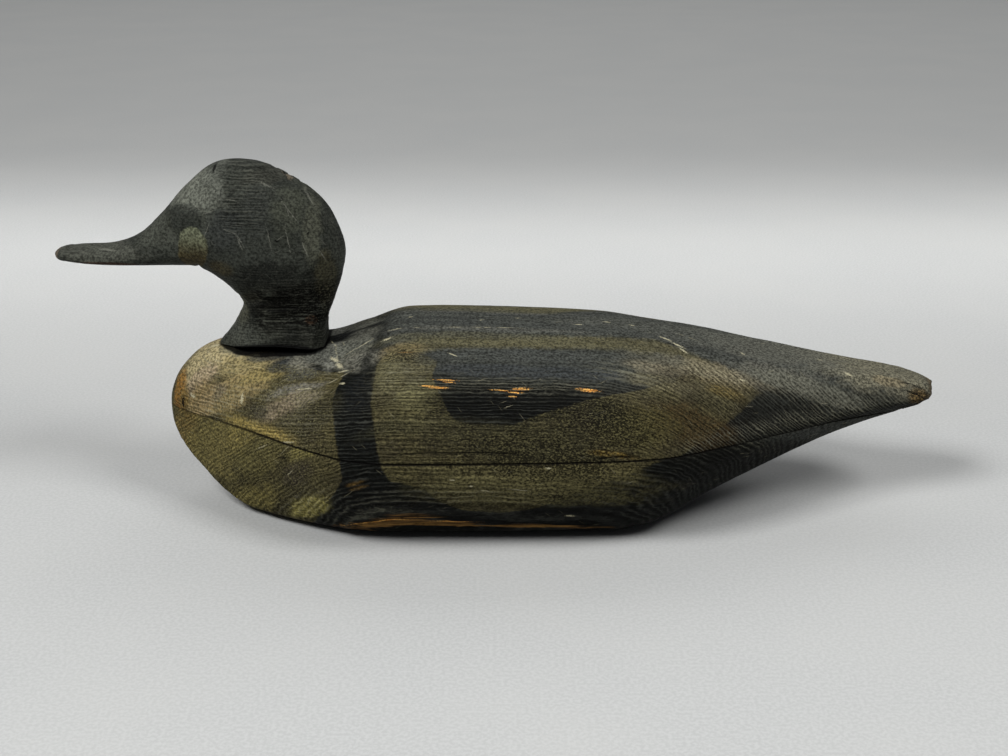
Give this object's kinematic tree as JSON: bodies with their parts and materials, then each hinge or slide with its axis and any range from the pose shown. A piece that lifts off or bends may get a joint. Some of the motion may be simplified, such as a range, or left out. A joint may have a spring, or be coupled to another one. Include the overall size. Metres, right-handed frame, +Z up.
{
  "type": "goldeneye decoy",
  "caption": "Carved wooden duck decoy with a level head on a flat neck seat and a flat-bottomed body glued up from two boards.",
  "frame": {"origin": "on the table under the middle of the whole length, in the plane that halves the bird", "axes": "+X towards the tail, the bill pointing along -X; +Z up; -Y is the bird's left side, which the picture shows"},
  "size_m": [0.394, 0.151, 0.1567],
  "materials": {
    "head_paint": "worn charcoal-black paint over carved softwood, with scratches, rubbed edges and an olive cheek patch",
    "upper_body_paint": "thin weathered olive and black paint over raised softwood grain, with bare orange-brown wood showing in small flecks",
    "lower_body_paint": "thin weathered olive and black paint over raised softwood grain, worn to orange-brown wood along the bottom edge"
  },
  "bodies": {
    "root": {"head": "head_paint", "upper_body": "upper_body_paint", "lower_body": "lower_body_paint"}
  },
  "joints": []
}
